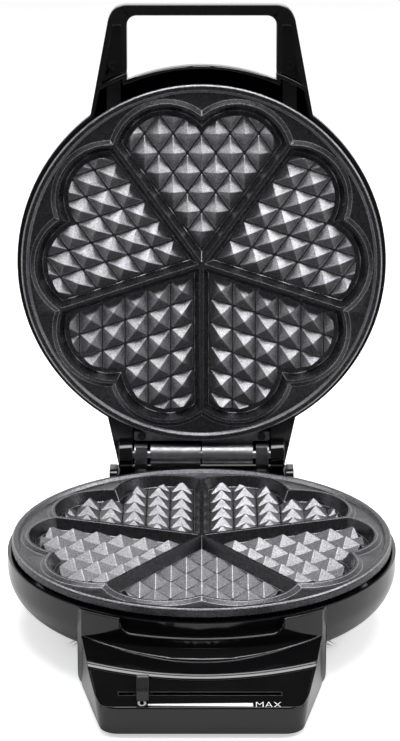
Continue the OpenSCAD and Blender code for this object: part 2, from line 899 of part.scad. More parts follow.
// A band round the dome whose edge is rounded with radius round_r, from height z up.
module band_volume(r, z, round_r, inset) {
    turned(concat([[0, edge_z(inset)], [r - inset, edge_z(inset)], [r - inset, z]],
                  arc(r - round_r, z, round_r - inset, 8, 90, 9),
                  [[0, z + round_r - inset]]));
}

// The dome's edge carried forward to meet the handle: a low chin, with shoulders under the handle's arms.
module chin(inset) {
    intersection() {
        union() {
            band_volume(chin_r, shell_z + 8.4, 20, inset);
            difference() {
                band_volume(shoulder_r, shell_z + 9, 14, inset);
                translate([-window_half - inset, -reach, 0]) cube([2 * (window_half + inset), reach, reach]);
            }
        }
        linear_extrude(reach)
            polygon([[-66 + inset, -60], [66 - inset, -60], [65.5 - inset, -76], [52.6 - inset, -143],
                     [-52.6 + inset, -143], [-65.5 + inset, -76]]);
    }
}

// Block behind the dome.
module lid_block(inset) {
    top = dome_z - 6;
    intersection() {
        side_extrude(-block_half - 5, block_half + 5)
            polygon(rounded([[80, edge_z(inset), 0], [lid_block_y - inset, edge_z(inset), 0],
                             [lid_block_y - inset, top - 6 - inset, 8], [88, top + 5 - inset, 0],
                             [80, top + 5 - inset, 0]]));
        linear_extrude(reach)
            polygon([[-58.4 + inset, 75], [58.4 - inset, 75], [cheek_out - inset, lid_block_y + eps],
                     [-cheek_out + inset, lid_block_y + eps]]);
    }
}

// Cheeks that carry the hinge's pin.
module cheeks() {
    both_sides()
        side_extrude(cheek_x, cheek_out)
            polygon(rounded([[hinge_y - cheek_r, shell_z + 4, 0], [hinge_y - cheek_r, hinge_z - cheek_r, cheek_r - 0.2],
                             [lid_block_y, hinge_z - cheek_r, cheek_r - 0.2], [lid_block_y, shell_z + 4, 0]]));
}

// Swept by the base's knuckles and leaf as the lid turns.
module hinge_room() {
    at_hinge() rod_x(barrel_r + 0.8, -cheek_x, cheek_x);
    intersection() {
        at_hinge() rod_x(12.4, -cheek_x, cheek_x);
        translate([-reach, hinge_y, 0]) cube([2 * reach, reach, reach]);
    }
}

module lid_shell() {
    color(gloss_black) on_lid()
        difference() {
            union() {
                dome_volume(0);
                chin(0);
                lid_block(0);
                cheeks();
                // Tongues inside the handle's arms
                both_sides()
                    translate([tongue_x - 4, -handle_screw_y - 6, arm_z + pan_t]) cube([8, 18, 4]);
            }
            difference() {
                union() {
                    dome_volume(wall);
                    chin(wall);
                    intersection() {
                        lid_block(wall);
                        translate([-cheek_x, 70, 0]) cube([2 * cheek_x, 80, reach]);
                    }
                }
                // Bosses for the lid leaf's screws
                both_sides()
                    translate([leaf_screw_x, lid_screw_y, hinge_z + barrel_r + pan_t]) cylinder(r = 4, h = 40);
            }
            hinge_room();
            at_hinge() rod_x(pin_r, -cheek_x - 6.4, cheek_x + 6.4);
            both_sides() {
                translate([leaf_screw_x, lid_screw_y, 50]) cylinder(r = 1.5, h = 22);
                translate([tongue_x, -handle_screw_y, shell_z + 4]) cylinder(r = 1.5, h = 12);
                // Way for the upper reflector's arms
                translate([tongue_x - 4.2, -handle_screw_y - 10, arm_z - 0.2]) cube([8.4, 30, pan_t + 0.2]);
            }
            for (x = [-lens_x, lens_x])
                translate([x, -lens_y, dome_z - 10]) cylinder(r = lens_r, h = 20);
        }
}

module lid_handle() {
    outer = rounded([[-65.5, -76, 0], [-51.6, -handle_y, 11], [51.6, -handle_y, 11], [65.5, -76, 0]]);
    window = rounded([[-window_half, -80, 0], [-window_half, -handle_y + bar_w, 5.5],
                      [window_half, -handle_y + bar_w, 5.5], [window_half, -80, 0]]);
    color(gloss_black) on_lid()
        translate([0, 0, shell_z])
            difference() {
                linear_extrude(handle_t)
                    difference() {
                        polygon(outer);
                        polygon(window);
                    }
                translate([0, 0, -1]) cylinder(r = shoulder_r + 0.05, h = handle_t + 2);
                both_sides() {
                    // Pocket in the arm's underside, then the slot that takes the shell's tongue
                    translate([0, 0, -1])
                        linear_extrude(5)
                            polygon([[window_half + 3.2, -100], [window_half + 3.2, -137], [50.6, -137],
                                     [57.8, -100]]);
                    translate([tongue_x - 4.1, -handle_screw_y - 6.1, arm_z - shell_z])
                        cube([8.2, 22, pan_t + 4.1]);
                    translate([tongue_x, -handle_screw_y, 3]) cylinder(r = 1.7, h = 5);
                }
            }
}

module handle_screws() {
    color(steel) on_lid()
        both_sides()
            translate([tongue_x, -handle_screw_y, shell_z + 4])
                screw(2.8, 1.6, 1.5, 6.4);
}

module upper_plate() {
    color(plate_grey) on_lid() flipped() translate([0, 0, plate_z]) baking_plate();
}

module upper_heating_element() {
    color(steel) on_lid() flipped() heating_element();
}

// Its arms are clamped by the handle's screws, and its tab by the hinge leaf's.
module upper_reflector() {
    tab_z = hinge_z + barrel_r;
    color(steel) on_lid()
        difference() {
            union() {
                flipped() reflector_pan();
                both_sides()
                    translate([tongue_x - 4, -handle_screw_y - 5.8, arm_z]) cube([8, 45, pan_t]);
                side_extrude(-39, 39)
                    polygon([[88, arm_z], [95, arm_z], [98, tab_z], [hinge_y - 7.5, tab_z],
                             [hinge_y - 7.5, tab_z + pan_t], [98.4, tab_z + pan_t], [95.4, arm_z + pan_t],
                             [88, arm_z + pan_t]]);
            }
            both_sides() {
                translate([tongue_x, -handle_screw_y, arm_z - 1]) cylinder(r = 1.6, h = 3);
                translate([leaf_screw_x, lid_screw_y, tab_z - 1]) cylinder(r = 1.6, h = 3);
            }
        }
}

module pan_screws() {
    color(steel) on_lid()
        flipped()
            at_bosses()
                translate([0, 0, plate_z - plate_back - boss_h - pan_t])
                    screw(3.4, 1.6, 1.5, boss_h + pan_t);
}

module lens(x) {
    on_lid()
        translate([x, -lens_y, dome_z - 0.4]) {
            cylinder(r = lens_r, h = lens_top - dome_z + 0.4);
            translate([0, 0, -1.4]) cylinder(r = lens_r + 1, h = 1.4);
        }
}

module power_lens() {
    color("red") lens(-lens_x);
}

module ready_lens() {
    color("green") lens(lens_x);
}

lower_housing();
lower_plate();
lower_heating_element();
lower_reflector();
housing_screws();
front_console();
console_cover();
cover_screws();
control_panel();
slider_knob();
slider_carriage();
thermostat();
thermostat_lever();
thermal_fuse();
terminal_block();
cord_gland();
rubber_feet();
base_hinge_leaf();
base_leaf_screws();
hinge_pin();
lid_hinge_leaf();
lid_leaf_screws();
lid_shell();
lid_handle();
handle_screws();
upper_plate();
upper_heating_element();
upper_reflector();
pan_screws();
power_lens();
ready_lens();
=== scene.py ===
import bpy
import json
import math
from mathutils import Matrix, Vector

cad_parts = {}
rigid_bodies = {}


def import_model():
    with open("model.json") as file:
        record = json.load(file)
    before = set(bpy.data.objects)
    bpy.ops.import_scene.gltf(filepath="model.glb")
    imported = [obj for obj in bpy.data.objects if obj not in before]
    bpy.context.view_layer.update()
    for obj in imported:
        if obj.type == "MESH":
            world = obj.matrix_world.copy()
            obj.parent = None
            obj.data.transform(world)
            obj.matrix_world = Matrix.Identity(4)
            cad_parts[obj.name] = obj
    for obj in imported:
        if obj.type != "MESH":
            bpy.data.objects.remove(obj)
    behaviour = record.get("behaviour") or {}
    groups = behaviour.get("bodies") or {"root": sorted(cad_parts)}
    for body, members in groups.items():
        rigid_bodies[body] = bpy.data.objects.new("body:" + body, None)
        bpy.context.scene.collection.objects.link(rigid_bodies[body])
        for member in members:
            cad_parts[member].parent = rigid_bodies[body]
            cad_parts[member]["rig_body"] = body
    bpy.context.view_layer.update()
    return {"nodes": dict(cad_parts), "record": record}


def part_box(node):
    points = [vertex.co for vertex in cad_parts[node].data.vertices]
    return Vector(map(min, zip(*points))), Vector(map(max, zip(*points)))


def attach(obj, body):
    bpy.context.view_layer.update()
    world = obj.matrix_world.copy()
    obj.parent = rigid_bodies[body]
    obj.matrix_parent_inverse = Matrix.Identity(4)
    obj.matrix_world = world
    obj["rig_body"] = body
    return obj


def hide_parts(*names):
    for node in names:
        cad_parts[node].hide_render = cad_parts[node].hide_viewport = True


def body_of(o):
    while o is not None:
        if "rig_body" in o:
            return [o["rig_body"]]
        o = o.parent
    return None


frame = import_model()
cadNodes = frame["nodes"]
mm = 0.001
print("frame loaded:", len(cadNodes), "nodes")

plateAxisY = sum(corner.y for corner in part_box("lower_plate")) / 2


# helpers for materials
noiseSpread = (0.3, 0.7)  # the stretch of a noise's values that is put to use


def newMaterial(name):
    material = bpy.data.materials.new(name)
    material.use_nodes = True
    tree = material.node_tree
    shader = tree.nodes["Principled BSDF"]
    return material, tree, shader


def objectCoords(tree, scale=1.0):
    coords = tree.nodes.new("ShaderNodeTexCoord")
    mapping = tree.nodes.new("ShaderNodeMapping")
    mapping.inputs["Scale"].default_value = (scale, scale, scale)
    tree.links.new(coords.outputs["Object"], mapping.inputs["Vector"])
    return mapping.outputs["Vector"]


def noiseOf(tree, coords, scale, detail=3.0, roughness=0.5):
    noise = tree.nodes.new("ShaderNodeTexNoise")
    noise.inputs["Scale"].default_value = scale
    noise.inputs["Detail"].default_value = detail
    noise.inputs["Roughness"].default_value = roughness
    tree.links.new(coords, noise.inputs["Vector"])
    return noise.outputs["Fac"]


def rangeOf(tree, value, low, high, fromLow=noiseSpread[0], fromHigh=noiseSpread[1]):
    node = tree.nodes.new("ShaderNodeMapRange")
    node.inputs["From Min"].default_value = fromLow
    node.inputs["From Max"].default_value = fromHigh
    node.inputs["To Min"].default_value = low
    node.inputs["To Max"].default_value = high
    tree.links.new(value, node.inputs["Value"])
    return node.outputs["Result"]


def twoTone(tree, value, dark, light):
    ramp = tree.nodes.new("ShaderNodeValToRGB")
    for point, place, colour in zip(ramp.color_ramp.elements, noiseSpread, (dark, light)):
        point.position = place
        point.color = (*colour, 1)
    tree.links.new(value, ramp.inputs["Fac"])
    return ramp.outputs["Color"]


def bumpOf(tree, shader, height, strength, distance):
    bump = tree.nodes.new("ShaderNodeBump")
    bump.inputs["Strength"].default_value = strength
    bump.inputs["Distance"].default_value = distance
    tree.links.new(height, bump.inputs["Height"])
    tree.links.new(bump.outputs["Normal"], shader.inputs["Normal"])


def mouldedPlastic(name, look):
    material, tree, shader = newMaterial(name)
    coords = objectCoords(tree)
    flow = noiseOf(tree, coords, look["flowScale"], detail=3.0)
    tree.links.new(twoTone(tree, flow, look["dark"], look["light"]), shader.inputs["Base Color"])
    haze = noiseOf(tree, coords, look["hazeScale"], detail=4.0)
    tree.links.new(rangeOf(tree, haze, look["roughLow"], look["roughHigh"]), shader.inputs["Roughness"])
    grain = noiseOf(tree, coords, look["grainScale"], detail=2.0)
    bumpOf(tree, shader, grain, look["grainStrength"], look["grainDepth"])
    shader.inputs["Specular IOR Level"].default_value = look["specular"]
    shader.inputs["Metallic"].default_value = look.get("metallic", 0)
    return material


finishLooks = {
    "glossHousing": {
        "dark": (0.0018, 0.0018, 0.0021), "light": (0.003, 0.003, 0.0034), "flowScale": 18,
        "roughLow": 0.07, "roughHigh": 0.12, "hazeScale": 60,
        "grainScale": 260, "grainStrength": 0.05, "grainDepth": 0.0002, "specular": 0.5},
    "satinPlastic": {
        "dark": (0.012, 0.012, 0.013), "light": (0.018, 0.018, 0.02), "flowScale": 30,
        "roughLow": 0.32, "roughHigh": 0.42, "hazeScale": 120,
        "grainScale": 1600, "grainStrength": 0.25, "grainDepth": 0.0001, "specular": 0.45},
    "panelFoil": {
        "dark": (0.003, 0.003, 0.0035), "light": (0.005, 0.005, 0.0055), "flowScale": 40,
        "roughLow": 0.1, "roughHigh": 0.15, "hazeScale": 90,
        "grainScale": 2200, "grainStrength": 0.12, "grainDepth": 0.00005, "specular": 0.2},
    "nonStickCoating": {
        "dark": (0.11, 0.109, 0.116), "light": (0.31, 0.306, 0.325), "flowScale": 1300,
        "roughLow": 0.34, "roughHigh": 0.44, "hazeScale": 300,
        "grainScale": 1800, "grainStrength": 0.35, "grainDepth": 0.00012, "specular": 1.0, "metallic": 0.85},
    # painted shade: a darker copy of the coating for the land, crest flanks and walls, standing in for the
    # dim reflections they show
    "shadedLandCoating": {
        "dark": (0.018, 0.0178, 0.0195), "light": (0.075, 0.073, 0.08), "flowScale": 1300,
        "roughLow": 0.24, "roughHigh": 0.32, "hazeScale": 300,
        "grainScale": 1800, "grainStrength": 0.4, "grainDepth": 0.00014, "specular": 1.0, "metallic": 0.85},
    "hingeSteel": {
        "dark": (0.20, 0.20, 0.21), "light": (0.27, 0.27, 0.285), "flowScale": 300,
        "roughLow": 0.38, "roughHigh": 0.5, "hazeScale": 400,
        "grainScale": 1400, "grainStrength": 0.2, "grainDepth": 0.00008, "specular": 0.5, "metallic": 1.0},
    "bareSteel": {
        "dark": (0.42, 0.42, 0.43), "light": (0.52, 0.52, 0.53), "flowScale": 200,
        "roughLow": 0.3, "roughHigh": 0.42, "hazeScale": 500,
        "grainScale": 1200, "grainStrength": 0.2, "grainDepth": 0.00008, "specular": 0.5, "metallic": 1.0},
    # painted shade: near-black given to the upper reflector in place of the shadow it lies in
    "paintedShadeBlack": {
        "dark": (0.006, 0.006, 0.006), "light": (0.01, 0.01, 0.01), "flowScale": 200,
        "roughLow": 0.4, "roughHigh": 0.5, "hazeScale": 400,
        "grainScale": 1200, "grainStrength": 0.2, "grainDepth": 0.00008, "specular": 0.3},
    "blackedScrew": {
        "dark": (0.03, 0.03, 0.032), "light": (0.05, 0.05, 0.053), "flowScale": 300,
        "roughLow": 0.25, "roughHigh": 0.35, "hazeScale": 500,
        "grainScale": 1200, "grainStrength": 0.2, "grainDepth": 0.00006, "specular": 0.5, "metallic": 1.0},
    "printWhite": {
        "dark": (0.84, 0.84, 0.84), "light": (0.9, 0.9, 0.9), "flowScale": 300,
        "roughLow": 0.5, "roughHigh": 0.6, "hazeScale": 400,
        "grainScale": 1500, "grainStrength": 0.1, "grainDepth": 0.00002, "specular": 0.3},
    "slotTrim": {
        "dark": (0.05, 0.05, 0.052), "light": (0.075, 0.075, 0.078), "flowScale": 300,
        "roughLow": 0.4, "roughHigh": 0.5, "hazeScale": 400,
        "grainScale": 1500, "grainStrength": 0.1, "grainDepth": 0.00003, "specular": 0.4},
    "paleCeramic": {
        "dark": (0.55, 0.53, 0.48), "light": (0.65, 0.63, 0.58), "flowScale": 150,
        "roughLow": 0.5, "roughHigh": 0.65, "hazeScale": 300,
        "grainScale": 1500, "grainStrength": 0.3, "grainDepth": 0.0001, "specular": 0.4},
    "footRubber": {
        "dark": (0.014, 0.014, 0.014), "light": (0.022, 0.022, 0.022), "flowScale": 120,
        "roughLow": 0.7, "roughHigh": 0.85, "hazeScale": 300,
        "grainScale": 1800, "grainStrength": 0.4, "grainDepth": 0.0002, "specular": 0.3},
}
finishes = {name: mouldedPlastic(name, look) for name, look in finishLooks.items()}


lensLook = {"cloudScale": 200, "shade": 0.75, "roughLow": 0.1, "roughHigh": 0.18, "clear": 0.35,
            "colours": {"redLens": (0.55, 0.03, 0.02), "greenLens": (0.04, 0.42, 0.08)}}


def lampLens(name, colour):
    material, tree, shader = newMaterial(name)
    coords = objectCoords(tree)
    cloud = noiseOf(tree, coords, lensLook["cloudScale"], detail=2.0)
    dark = tuple(channel * lensLook["shade"] for channel in colour)
    tree.links.new(twoTone(tree, cloud, dark, colour), shader.inputs["Base Color"])
    rough = rangeOf(tree, cloud, lensLook["roughLow"], lensLook["roughHigh"])
    tree.links.new(rough, shader.inputs["Roughness"])
    shader.inputs["Transmission Weight"].default_value = lensLook["clear"]
    return material


for lensName, lensColour in lensLook["colours"].items():
    finishes[lensName] = lampLens(lensName, lensColour)

slotFinish = {
    "gloss_black": "glossHousing", "satin_black": "satinPlastic", "panel_black": "panelFoil",
    "plate_coating": "nonStickCoating", "dark_steel": "hingeSteel", "bare_steel": "bareSteel",
    "pale_insulator": "paleCeramic", "foot_rubber": "footRubber",
    "lens_red": "redLens", "lens_green": "greenLens",
}

# nodes whose finish differs from that of their slot; the upper reflector's bare steel gets painted shade, a
# black sheet where it lies in shadow
nodeFinish = {
    "upper_reflector": "paintedShadeBlack", "handle_screws": "blackedScrew", "lid_leaf_screws": "blackedScrew",
}


def finishCadNodes():
    slots = {part["node"]: part["material_slot"] for part in frame["record"]["subparts"]}
    for name, node in cadNodes.items():
        node.data.materials.clear()
        node.data.materials.append(finishes[nodeFinish.get(name, slotFinish[slots[name]])])


finishCadNodes()
print("materials given to", len(cadNodes), "nodes")


# helpers for pieces
meshCare = {
    "weld": 0.002 * mm, "printWeld": 0.001 * mm,
    "smooth": 40,  # degrees: edges under it are shaded smooth
    "faceWeight": 80,  # how far large faces pull the shading of the narrow ones beside them
}


def selectOnly(piece):
    bpy.ops.object.select_all(action="DESELECT")
    piece.select_set(True)
    bpy.context.view_layer.objects.active = piece


def editAll(piece):
    selectOnly(piece)
    bpy.ops.object.mode_set(mode="EDIT")
    bpy.ops.mesh.select_all(action="SELECT")


def applyModifier(piece, kind, **settings):
    selectOnly(piece)
    modifier = piece.modifiers.new(kind.lower(), kind)
    for name, value in settings.items():
        setattr(modifier, name, value)
    bpy.ops.object.modifier_apply(modifier=modifier.name)


def smoothShading(piece, angle):
    selectOnly(piece)
    bpy.ops.object.shade_smooth_by_angle(angle=math.radians(angle))


def copyOfNode(nodeName, pieceName):
    node = cadNodes[nodeName]
    piece = bpy.data.objects.new(pieceName, node.data.copy())
    bpy.context.scene.collection.objects.link(piece)
    editAll(piece)
    bpy.ops.mesh.customdata_custom_splitnormals_clear()
    bpy.ops.mesh.remove_doubles(threshold=meshCare["weld"])
    bpy.ops.object.mode_set(mode="OBJECT")
    return piece


def standsFor(piece, nodeName):
    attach(piece, body_of(cadNodes[nodeName])[0])
    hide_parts(nodeName)


# mouldings and castings with their edges broken
softEdges = {
    "front_console": {"piece": "consoleMoulding", "edge": 0.5 * mm, "segments": 3, "sharp": 33, "zones": [
        # the well under the slot, the crest of the brow, and the two corners of the lip
        {"low": (-46, -155.6, 17.5), "high": (44, -150, 23), "edge": 0.08 * mm},
        {"low": (-57, -149, 25.9), "high": (57, -143.3, 31), "edge": 1.1 * mm},
        {"low": (-53, -161, 14), "high": (-40, -150, 20), "edge": 0.12 * mm},
        {"low": (40, -161, 14), "high": (53, -150, 20), "edge": 0.12 * mm}]},
    "lower_housing": {"piece": "bowlMoulding", "edge": 0.5 * mm, "segments": 2, "sharp": 33},
    "lid_shell": {"piece": "lidMoulding", "edge": 0.5 * mm, "segments": 3, "sharp": 33, "zones": [
        # the chin under the handle
        {"low": (-34, 118, 276), "high": (34, 140, 287), "edge": 1.4 * mm}]},
    "lid_handle": {"piece": "handleMoulding", "edge": 0.8 * mm, "segments": 3, "sharp": 33},
    "slider_knob": {"piece": "knobMoulding", "edge": 0.4 * mm, "segments": 3, "sharp": 33},
    "lower_plate": {"piece": "lowerCasting", "edge": 0.21 * mm, "segments": 1, "sharp": 25, "smooth": 19,
                    "axis": (0, 0, 1)},
    "upper_plate": {"piece": "upperCasting", "edge": 0.21 * mm, "segments": 1, "sharp": 25, "smooth": 19,
                    "axis": (0, -0.99357, 0.1132)},
}


def edgeWidth(middle, look):
    # zones are boxes in millimetres where an edge has a width of its own
    for zone in look.get("zones", []):
        if all(low * mm <= place <= high * mm for low, place, high in zip(zone["low"], middle, zone["high"])):
            return zone["edge"]
    return look["edge"]


def weighEdges(piece, look):
    editAll(piece)
    bpy.ops.mesh.select_mode(type="EDGE")
    bpy.ops.mesh.select_all(action="DESELECT")
    bpy.ops.mesh.edges_select_sharp(sharpness=math.radians(look["sharp"]))
    bpy.ops.object.mode_set(mode="OBJECT")
    mesh = piece.data
    widest = max([look["edge"]] + [zone["edge"] for zone in look.get("zones", [])])
    weights = mesh.attributes.new("bevel_weight_edge", "FLOAT", "EDGE")
    for edge in mesh.edges:
        if edge.select:
            middle = (mesh.vertices[edge.vertices[0]].co + mesh.vertices[edge.vertices[1]].co) / 2
            weights.data[edge.index].value = edgeWidth(middle, look) / widest
    return widest


# how a plate's faces lean against its axis, as cosines
plateSlopes = {"flat": 0.985, "side": 0.1, "flank": (0.78, 0.87), "wall": (0.36, 0.48),
               "flankDepth": 1.9 * mm}  # what leans like a flank and lies deeper belongs to the cells


def isLand(slope, depth):
    flankLow, flankHigh = plateSlopes["flank"]
    wallLow, wallHigh = plateSlopes["wall"]
    flank = flankLow < slope < flankHigh and depth < plateSlopes["flankDepth"]
    wall = wallLow < slope < wallHigh
    return slope > plateSlopes["flat"] or abs(slope) < plateSlopes["side"] or flank or wall


def paintLandShade(piece, axis):
    # all but the cells and the broken edges of a plate is smoother, and painted darker as shade for the dim
    # reflections these faces show
    piece.data.materials.append(finishes["shadedLandCoating"])
    rim = max(vertex.co.dot(axis) for vertex in piece.data.vertices)
    for face in piece.data.polygons:
        if isLand(face.normal.dot(axis), rim - face.center.dot(axis)):
            face.material_index = 1


def breakEdges(nodeName, look):
    piece = copyOfNode(nodeName, look["piece"])
    widest = weighEdges(piece, look)
    applyModifier(piece, "BEVEL", width=widest, segments=look["segments"], limit_method="WEIGHT",
                  use_clamp_overlap=False, miter_outer="MITER_ARC")
    smoothShading(piece, look.get("smooth", meshCare["smooth"]))
    if look["segments"] > 1:
        applyModifier(piece, "WEIGHTED_NORMAL", keep_sharp=True, weight=meshCare["faceWeight"])
    if "axis" in look:
        paintLandShade(piece, Vector(look["axis"]))
    standsFor(piece, nodeName)
    return piece


mouldings = {nodeName: breakEdges(nodeName, look) for nodeName, look in softEdges.items()}
print("edges broken on", len(softEdges), "pieces")


# bead round the console's notch
notchBead = {"half": 42.4 * mm, "top": 42.5 * mm, "foot": 35.6 * mm, "corner": 6 * mm,
             "wallRadius": 110.0 * mm, "beadRadius": 0.75 * mm, "roundness": 3, "steps": 48, "cornerSteps": 8}


def onWall(across, height):
    # a point on the console's round wall
    return Vector((across, plateAxisY - math.sqrt(notchBead["wallRadius"] ** 2 - across ** 2), height))


def beadPath():
    # down the left side, round the corner, along the foot, and up the right side
    half, corner, foot, top = (notchBead[key] for key in ("half", "corner", "foot", "top"))
    steps, cornerSteps = notchBead["steps"], notchBead["cornerSteps"]
    turns = [math.radians(90 * step / cornerSteps) for step in range(cornerSteps + 1)]
    centreX, centreZ = half - corner, foot + corner  # of the right corner's round
    path = [(-half, top)]
    for turn in turns:
        path.append((-centreX - corner * math.cos(turn), centreZ - corner * math.sin(turn)))
    for step in range(1, steps):
        path.append((-centreX + 2 * centreX * step / steps, foot))
    for turn in turns:
        path.append((centreX + corner * math.sin(turn), centreZ - corner * math.cos(turn)))
    path.append((half, top))
    return [onWall(across, height) for across, height in path]


def beadTube():
    path = beadPath()
    curve = bpy.data.curves.new("notchBead", "CURVE")
    curve.dimensions = "3D"
    curve.bevel_depth = notchBead["beadRadius"]
    curve.bevel_resolution = notchBead["roundness"]
    curve.use_fill_caps = True
    spline = curve.splines.new("POLY")
    spline.points.add(len(path) - 1)
    for point, place in zip(spline.points, path):
        point.co = (*place, 1)
    bead = bpy.data.objects.new("notchBead", curve)
    bpy.context.scene.collection.objects.link(bead)
    selectOnly(bead)
    bpy.ops.object.convert(target="MESH")
    bead = bpy.context.object
    bead.data.materials.clear()
    bead.data.materials.append(finishes["glossHousing"])
    smoothShading(bead, meshCare["smooth"])
    return bead


def joinBead():
    bead = beadTube()
    console = mouldings["front_console"]
    bead.select_set(True)
    bpy.context.view_layer.objects.active = console
    console.select_set(True)
    bpy.ops.object.join()


joinBead()
print("bead joined to the console")


# print on the control panel
panelPrint = {
    "foot": (0, -150.5 * mm + plateAxisY, 16.5 * mm),
    "slope": 42,
    "recess": 0.4 * mm,
    "thickness": 0.06 * mm,
    "curveSteps": 6,
    "wedge": {"left": -27.2 * mm, "right": 25.7 * mm, "middle": 1.75 * mm,
              "thin": 0.85 * mm, "thick": 1.9 * mm},
    "max": {"left": 27.2 * mm, "right": 40.1 * mm, "low": 0.35 * mm, "high": 3.3 * mm, "bold": -0.014},
    "zero": {"left": -32.4 * mm, "right": -28.0 * mm, "low": 1.0 * mm, "high": 4.4 * mm, "bold": 0.012},
    "slot": {"left": -42.3 * mm, "right": 40.5 * mm, "low": 6.7 * mm, "high": 8.7 * mm,
             "line": 0.16 * mm, "height": 0.15 * mm},
}


def layOnPanel(piece, finish):
    # from the flat XY plane onto the panel's slope
    selectOnly(piece)
    slope = math.radians(panelPrint["slope"])
    foot = Vector(panelPrint["foot"])
    normal = Vector((0, -math.sin(slope), math.cos(slope)))
    piece.rotation_euler = (slope, 0, 0)
    piece.location = foot - normal * panelPrint["recess"]
    bpy.ops.object.transform_apply(location=True, rotation=True, scale=True)
    piece.data.materials.clear()
    piece.data.materials.append(finishes[finish])
    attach(piece, "base")


def printedText(words, look, name):
    bpy.ops.object.select_all(action="DESELECT")
    bpy.ops.object.text_add()
    label = bpy.context.object
    label.data.body = words
    label.data.offset = look["bold"]
    label.data.extrude = 0.5  # brought to the print's thickness below
    label.data.resolution_u = panelPrint["curveSteps"]
    bpy.ops.object.convert(target="MESH")
    piece = bpy.context.object
    piece.name = name
    corners = [vertex.co for vertex in piece.data.vertices]
    low = Vector([min(corner[axis] for corner in corners) for axis in range(3)])
    high = Vector([max(corner[axis] for corner in corners) for axis in range(3)])
    piece.scale = ((look["right"] - look["left"]) / (high.x - low.x),
                   (look["high"] - look["low"]) / (high.y - low.y),
                   2 * panelPrint["thickness"] / (high.z - low.z))
    piece.location = (look["left"] - low.x * piece.scale.x, look["low"] - low.y * piece.scale.y, 0)
    bpy.ops.object.transform_apply(location=True, rotation=True, scale=True)
    editAll(piece)
    bpy.ops.mesh.remove_doubles(threshold=meshCare["printWeld"])
    bpy.ops.object.mode_set(mode="OBJECT")
    layOnPanel(piece, "printWhite")


def flatBlock(name, left, right, low, high, thickness):
    bpy.ops.object.select_all(action="DESELECT")
    bpy.ops.mesh.primitive_cube_add(size=1)
    piece = bpy.context.object
    piece.name = name
    piece.scale = (right - left, high - low, 2 * thickness)
    piece.location = ((left + right) / 2, (low + high) / 2, 0)
    bpy.ops.object.transform_apply(location=True, rotation=True, scale=True)
    return piece


def printWedge():
    look = panelPrint["wedge"]
    half = look["thick"] / 2
    piece = flatBlock("heatWedge", look["left"], look["right"], look["middle"] - half, look["middle"] + half,
                      panelPrint["thickness"])
    for vertex in piece.data.vertices:
        if vertex.co.x < 0:  # its left end is the thin one
            vertex.co.y = look["middle"] + (vertex.co.y - look["middle"]) * look["thin"] / look["thick"]
    layOnPanel(piece, "printWhite")


def trimSlot():
    # a thin frame round the slot: a block whose top and bottom are inset and joined by a hole
    look = panelPrint["slot"]
    piece = flatBlock("slotFrame", look["left"], look["right"], look["low"], look["high"], look["height"])
    editAll(piece)
    bpy.ops.mesh.select_mode(type="FACE")
    bpy.ops.mesh.select_all(action="DESELECT")
    bpy.ops.object.mode_set(mode="OBJECT")
    for face in piece.data.polygons:
        face.select = abs(face.normal.z) > 0.9  # its top and bottom
    bpy.ops.object.mode_set(mode="EDIT")
    bpy.ops.mesh.inset(thickness=look["line"], use_individual=True)
    bpy.ops.mesh.bridge_edge_loops()
    bpy.ops.object.mode_set(mode="OBJECT")
    layOnPanel(piece, "slotTrim")


printedText("MAX", panelPrint["max"], "maxWord")
printedText("0", panelPrint["zero"], "zeroFigure")
printWedge()
trimSlot()
print("print laid on the panel")


# floor, light and camera
floorLook = {
    "size": (4.0, 5.0), "front": -0.5,
    "tone": 0.8, "cloudTone": 0.79, "mirroredTone": 0.62, "cloudScale": 3, "rough": 0.9, "specular": 0.1,
    "lift": 0.53, "glossLift": 0.05,
    "sideGlow": 1.6, "glowFrom": 0.55, "glowTo": 0.8,
}


def rayStrength(tree, direct, gloss, other):
    # one strength for the camera and glass, one for reflections and one for every other ray
    lightPath = tree.nodes.new("ShaderNodeLightPath")
    strength = None
    for ray, value in (("Is Glossy Ray", gloss), ("Is Transmission Ray", direct), ("Is Camera Ray", direct)):
        mix = tree.nodes.new("ShaderNodeMix")
        mix.inputs["A"].default_value = other
        mix.inputs["B"].default_value = value
        if strength is not None:
            tree.links.new(strength, mix.inputs["A"])
        tree.links.new(lightPath.outputs[ray], mix.inputs["Factor"])
        strength = mix.outputs["Result"]
    return strength


def floorShade(tree, coords):
    # a faint cloud over the floor, and a darker plain tone where the floor is mirrored
    cloud = noiseOf(tree, coords, floorLook["cloudScale"], detail=2.0)
    cloudTone, tone, mirroredTone = floorLook["cloudTone"], floorLook["tone"], floorLook["mirroredTone"]
    shade = tree.nodes.new("ShaderNodeMix")
    shade.data_type = "RGBA"
    tree.links.new(tree.nodes.new("ShaderNodeLightPath").outputs["Is Glossy Ray"], shade.inputs["Factor"])
    tree.links.new(twoTone(tree, cloud, (cloudTone,) * 3, (tone,) * 3), shade.inputs["A"])
    shade.inputs["B"].default_value = (mirroredTone, mirroredTone, mirroredTone, 1)
    return shade.outputs["Result"]


def floorGlow(tree, coords):
    lift = rayStrength(tree, floorLook["lift"], floorLook["glossLift"], 0.0)
    # in reflections the floor is lit at its far sides
    parts = tree.nodes.new("ShaderNodeSeparateXYZ")
    tree.links.new(coords, parts.inputs["Vector"])
    side = tree.nodes.new("ShaderNodeMath")
    side.operation = "ABSOLUTE"
    tree.links.new(parts.outputs["X"], side.inputs[0])
    glow = rangeOf(tree, side.outputs["Value"], 0.0, floorLook["sideGlow"],
                   floorLook["glowFrom"], floorLook["glowTo"])
    lightPath = tree.nodes.new("ShaderNodeLightPath")
    total = tree.nodes.new("ShaderNodeMath")
    total.operation = "MULTIPLY_ADD"
    tree.links.new(glow, total.inputs[0])
    tree.links.new(lightPath.outputs["Is Glossy Ray"], total.inputs[1])
    tree.links.new(lift, total.inputs[2])
    return total.outputs["Value"]


